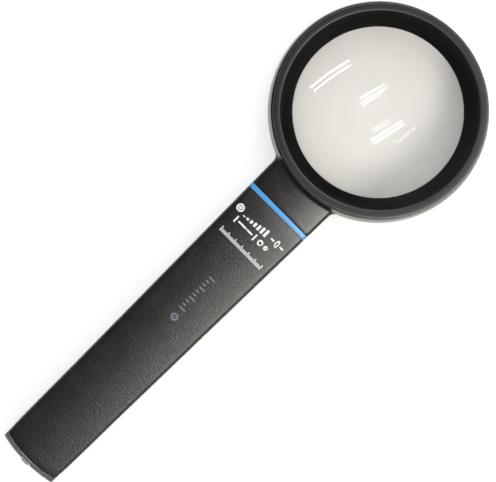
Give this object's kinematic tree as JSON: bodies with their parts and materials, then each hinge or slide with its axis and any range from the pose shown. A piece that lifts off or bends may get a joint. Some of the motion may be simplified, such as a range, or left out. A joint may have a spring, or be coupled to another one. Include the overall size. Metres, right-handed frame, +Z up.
{
  "type": "low vision magnifier",
  "caption": "Hand-held low vision magnifier: an aspheric lens recessed in a round hooded head on a flat, tapered handle with a blue accent ring.",
  "frame": {"origin": "middle of the footprint, on the plane that the rear rim and the underside of the handle lie on", "axes": "+Z up along the lens axis, from the rear rim to the front rim; +Y along the handle from its end towards the head; +X to the right seen from above with the head away"},
  "size_m": [0.0646, 0.1784, 0.0175],
  "materials": {
    "lens": "polished clear acrylic",
    "gasket": "soft matt silicone",
    "frame_plastic": "fine-textured satin black moulding",
    "grip": "soft-touch black with a fine speckle",
    "accent": "semi-gloss sky blue",
    "core": "matt dark grey moulding",
    "insert": "turned",
    "screw": "zinc plated"
  },
  "bodies": {
    "root": {"lens": "lens", "lens_gasket": "gasket", "front_bezel": "frame_plastic", "lens_frame": "frame_plastic", "accent_ring": "accent", "grip_sleeve": "grip", "handle_core": "core", "tang_inserts": "insert", "core_screws": "screw", "end_cap": "frame_plastic", "end_plug": "accent"}
  },
  "joints": []
}
